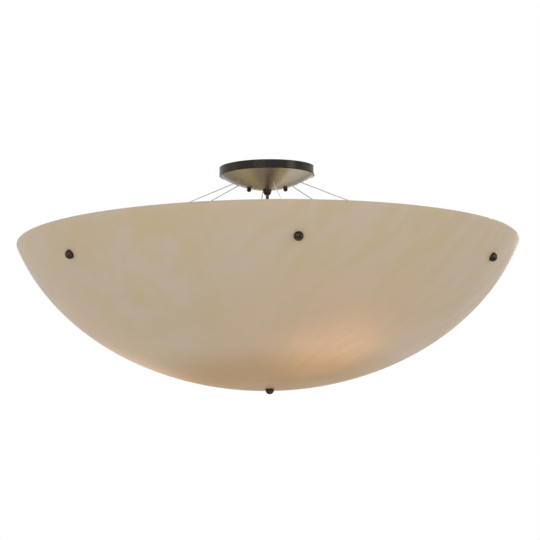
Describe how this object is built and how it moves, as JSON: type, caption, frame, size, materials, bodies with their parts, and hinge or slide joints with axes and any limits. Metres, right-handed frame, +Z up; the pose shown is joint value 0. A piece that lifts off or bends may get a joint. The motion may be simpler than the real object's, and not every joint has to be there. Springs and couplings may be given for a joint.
{
  "type": "bowl pendant light",
  "caption": "Large shallow alabaster-look bowl hung on splayed steel cables from a round ceiling canopy, with dark domed knobs, a bottom finial and a lamp cluster inside.",
  "frame": {"origin": "centre of the mounting plate's upper face, on the ceiling plane", "axes": "+Z up into the ceiling, +X to the viewer's right through the two canopy nuts, -Y towards the viewer"},
  "size_m": [1.2192, 1.219, 0.556],
  "materials": {
    "bowl": "satin alabaster-look cast resin with feathery streaks",
    "canopy": "spun champagne dish with a dark band",
    "dark_bronze": "dark bronze, satin",
    "plated_steel": "zinc plated",
    "turned_aluminium": "turned, matt",
    "steel_cable": "fine twisted strands",
    "cord_black": "black jacket",
    "washer_rubber": "soft black",
    "bushing_black": "moulded",
    "lead_insulation": "insulated leads",
    "connector_orange": "moulded twist-on connectors",
    "white_enamel": "white enamel",
    "porcelain": "white glazed",
    "socket_brass": "bright",
    "bulb_glass": "frosted, lit"
  },
  "bodies": {
    "light": {"anchor_nuts": "plated_steel", "anchor_rods": "plated_steel", "bowl": "bowl", "cable_anchor_ring": "turned_aluminium", "cable_clamps": "turned_aluminium", "cable_end_stops": "turned_aluminium", "canopy": "canopy", "canopy_leads": "lead_insulation", "canopy_studs": "plated_steel", "centre_column": "turned_aluminium", "centre_rod": "plated_steel", "centre_washer": "washer_rubber", "clamp_screws": "plated_steel", "cord_bushing": "bushing_black", "gland_body": "dark_bronze", "gland_cap": "dark_bronze", "gland_locknut": "plated_steel", "hub_lid": "white_enamel", "inner_washers": "washer_rubber", "knob_studs": "plated_steel", "lamp_hub": "white_enamel", "lamp_leads": "lead_insulation", "lamp_sockets": "porcelain", "mounting_plate": "plated_steel", "power_cord": "cord_black", "rod_nut": "plated_steel", "socket_arms": "white_enamel", "socket_shells": "socket_brass", "stud_locknuts": "plated_steel", "suspension_cable_1": "steel_cable", "suspension_cable_2": "steel_cable", "suspension_cable_3": "steel_cable", "suspension_cable_4": "steel_cable", "suspension_cable_5": "steel_cable", "suspension_cable_6": "steel_cable", "wire_connectors": "connector_orange"},
    "bowl_knob_1_seat": {"knob_washer_1": "washer_rubber"},
    "bowl_knob_1": {"bowl_knob_1": "dark_bronze"},
    "bowl_knob_2_seat": {"knob_washer_2": "washer_rubber"},
    "bowl_knob_2": {"bowl_knob_2": "dark_bronze"},
    "bowl_knob_3_seat": {"knob_washer_3": "washer_rubber"},
    "bowl_knob_3": {"bowl_knob_3": "dark_bronze"},
    "bowl_knob_4_seat": {"knob_washer_4": "washer_rubber"},
    "bowl_knob_4": {"bowl_knob_4": "dark_bronze"},
    "bowl_knob_5_seat": {"knob_washer_5": "washer_rubber"},
    "bowl_knob_5": {"bowl_knob_5": "dark_bronze"},
    "bowl_knob_6_seat": {"knob_washer_6": "washer_rubber"},
    "bowl_knob_6": {"bowl_knob_6": "dark_bronze"},
    "canopy_nut_left_seat": {"canopy_washer_left": "washer_rubber"},
    "canopy_nut_left": {"canopy_nut_left": "dark_bronze"},
    "canopy_nut_right_seat": {"canopy_washer_right": "washer_rubber"},
    "canopy_nut_right": {"canopy_nut_right": "dark_bronze"},
    "finial_seat": {"finial_washer": "washer_rubber"},
    "finial": {"finial": "dark_bronze"},
    "bulb_1_seat": {"bulb_contact_1": "socket_brass"},
    "bulb_1": {"bulb_1": "bulb_glass"},
    "bulb_2_seat": {"bulb_contact_2": "socket_brass"},
    "bulb_2": {"bulb_2": "bulb_glass"},
    "bulb_3_seat": {"bulb_contact_3": "socket_brass"},
    "bulb_3": {"bulb_3": "bulb_glass"}
  },
  "joints": [
    {"name": "bowl_knob_1_travel", "type": "slide", "parent": "light", "child": "bowl_knob_1_seat", "axis": [0.1017, -0.8405, -0.5322], "range_m": [0, 0.00762]},
    {"name": "bowl_knob_1_turn", "type": "hinge", "parent": "bowl_knob_1_seat", "child": "bowl_knob_1", "pos_m": [0.06898, -0.57, -0.2602], "axis": [0.1017, -0.8405, -0.5322], "range_deg": [0, 2160.5]},
    {"name": "bowl_knob_2_travel", "type": "slide", "parent": "light", "child": "bowl_knob_2_seat", "axis": [0.7788, -0.3322, -0.5322], "range_m": [0, 0.00762]},
    {"name": "bowl_knob_2_turn", "type": "hinge", "parent": "bowl_knob_2_seat", "child": "bowl_knob_2", "pos_m": [0.52813, -0.22527, -0.2602], "axis": [0.7788, -0.3322, -0.5322], "range_deg": [0, 2160.5]},
    {"name": "bowl_knob_3_travel", "type": "slide", "parent": "light", "child": "bowl_knob_3_seat", "axis": [0.6771, 0.5083, -0.5322], "range_m": [0, 0.00762]},
    {"name": "bowl_knob_3_turn", "type": "hinge", "parent": "bowl_knob_3_seat", "child": "bowl_knob_3", "pos_m": [0.45915, 0.34474, -0.2602], "axis": [0.6771, 0.5083, -0.5322], "range_deg": [0, 2160.5]},
    {"name": "bowl_knob_4_travel", "type": "slide", "parent": "light", "child": "bowl_knob_4_seat", "axis": [-0.1017, 0.8405, -0.5322], "range_m": [0, 0.00762]},
    {"name": "bowl_knob_4_turn", "type": "hinge", "parent": "bowl_knob_4_seat", "child": "bowl_knob_4", "pos_m": [-0.06898, 0.57, -0.2602], "axis": [-0.1017, 0.8405, -0.5322], "range_deg": [0, 2160.5]},
    {"name": "bowl_knob_5_travel", "type": "slide", "parent": "light", "child": "bowl_knob_5_seat", "axis": [-0.7788, 0.3322, -0.5322], "range_m": [0, 0.00762]},
    {"name": "bowl_knob_5_turn", "type": "hinge", "parent": "bowl_knob_5_seat", "child": "bowl_knob_5", "pos_m": [-0.52813, 0.22527, -0.2602], "axis": [-0.7788, 0.3322, -0.5322], "range_deg": [0, 2160.5]},
    {"name": "bowl_knob_6_travel", "type": "slide", "parent": "light", "child": "bowl_knob_6_seat", "axis": [-0.6771, -0.5083, -0.5322], "range_m": [0, 0.00762]},
    {"name": "bowl_knob_6_turn", "type": "hinge", "parent": "bowl_knob_6_seat", "child": "bowl_knob_6", "pos_m": [-0.45915, -0.34474, -0.2602], "axis": [-0.6771, -0.5083, -0.5322], "range_deg": [0, 2160.5]},
    {"name": "canopy_nut_left_travel", "type": "slide", "parent": "light", "child": "canopy_nut_left_seat", "axis": [0, 0, -1], "range_m": [0, 0.00556]},
    {"name": "canopy_nut_left_turn", "type": "hinge", "parent": "canopy_nut_left_seat", "child": "canopy_nut_left", "pos_m": [-0.04445, 0, -0.05088], "axis": [0, 0, -1], "range_deg": [0, 2520.5]},
    {"name": "canopy_nut_right_travel", "type": "slide", "parent": "light", "child": "canopy_nut_right_seat", "axis": [0, 0, -1], "range_m": [0, 0.00556]},
    {"name": "canopy_nut_right_turn", "type": "hinge", "parent": "canopy_nut_right_seat", "child": "canopy_nut_right", "pos_m": [0.04445, 0, -0.05088], "axis": [0, 0, -1], "range_deg": [0, 2520.5]},
    {"name": "finial_travel", "type": "slide", "parent": "light", "child": "finial_seat", "axis": [0, 0, -1], "range_m": [0, 0.00846]},
    {"name": "finial_turn", "type": "hinge", "parent": "finial_seat", "child": "finial", "pos_m": [0, 0, -0.5437], "axis": [0, 0, -1], "range_deg": [0, 3240.5]},
    {"name": "bulb_1_travel", "type": "slide", "parent": "light", "child": "bulb_1_seat", "axis": [0.498, -0.7969, 0.342], "range_m": [0, 0.01815]},
    {"name": "bulb_1_turn", "type": "hinge", "parent": "bulb_1_seat", "child": "bulb_1", "pos_m": [0.06698, -0.10718, -0.42664], "axis": [0.498, -0.7969, 0.342], "range_deg": [0, 1800.5]},
    {"name": "bulb_2_travel", "type": "slide", "parent": "light", "child": "bulb_2_seat", "axis": [0.4412, 0.8297, 0.342], "range_m": [0, 0.01815]},
    {"name": "bulb_2_turn", "type": "hinge", "parent": "bulb_2_seat", "child": "bulb_2", "pos_m": [0.05934, 0.11159, -0.42664], "axis": [0.4412, 0.8297, 0.342], "range_deg": [0, 1800.5]},
    {"name": "bulb_3_travel", "type": "slide", "parent": "light", "child": "bulb_3_seat", "axis": [-0.9391, -0.0328, 0.342], "range_m": [0, 0.01815]},
    {"name": "bulb_3_turn", "type": "hinge", "parent": "bulb_3_seat", "child": "bulb_3", "pos_m": [-0.12631, -0.00441, -0.42664], "axis": [-0.9391, -0.0328, 0.342], "range_deg": [0, 1800.5]}
  ],
  "couplings": [
    {"joint": "bowl_knob_1_turn", "follows": "bowl_knob_1_travel", "rad_per_m": 4947.4},
    {"joint": "bowl_knob_2_turn", "follows": "bowl_knob_2_travel", "rad_per_m": 4947.4},
    {"joint": "bowl_knob_3_turn", "follows": "bowl_knob_3_travel", "rad_per_m": 4947.4},
    {"joint": "bowl_knob_4_turn", "follows": "bowl_knob_4_travel", "rad_per_m": 4947.4},
    {"joint": "bowl_knob_5_turn", "follows": "bowl_knob_5_travel", "rad_per_m": 4947.4},
    {"joint": "bowl_knob_6_turn", "follows": "bowl_knob_6_travel", "rad_per_m": 4947.4},
    {"joint": "canopy_nut_left_turn", "follows": "canopy_nut_left_travel", "rad_per_m": 7913.3},
    {"joint": "canopy_nut_right_turn", "follows": "canopy_nut_right_travel", "rad_per_m": 7913.3},
    {"joint": "finial_turn", "follows": "finial_travel", "rad_per_m": 6684.2},
    {"joint": "bulb_1_turn", "follows": "bulb_1_travel", "rad_per_m": 1731.4},
    {"joint": "bulb_2_turn", "follows": "bulb_2_travel", "rad_per_m": 1731.4},
    {"joint": "bulb_3_turn", "follows": "bulb_3_travel", "rad_per_m": 1731.4}
  ]
}
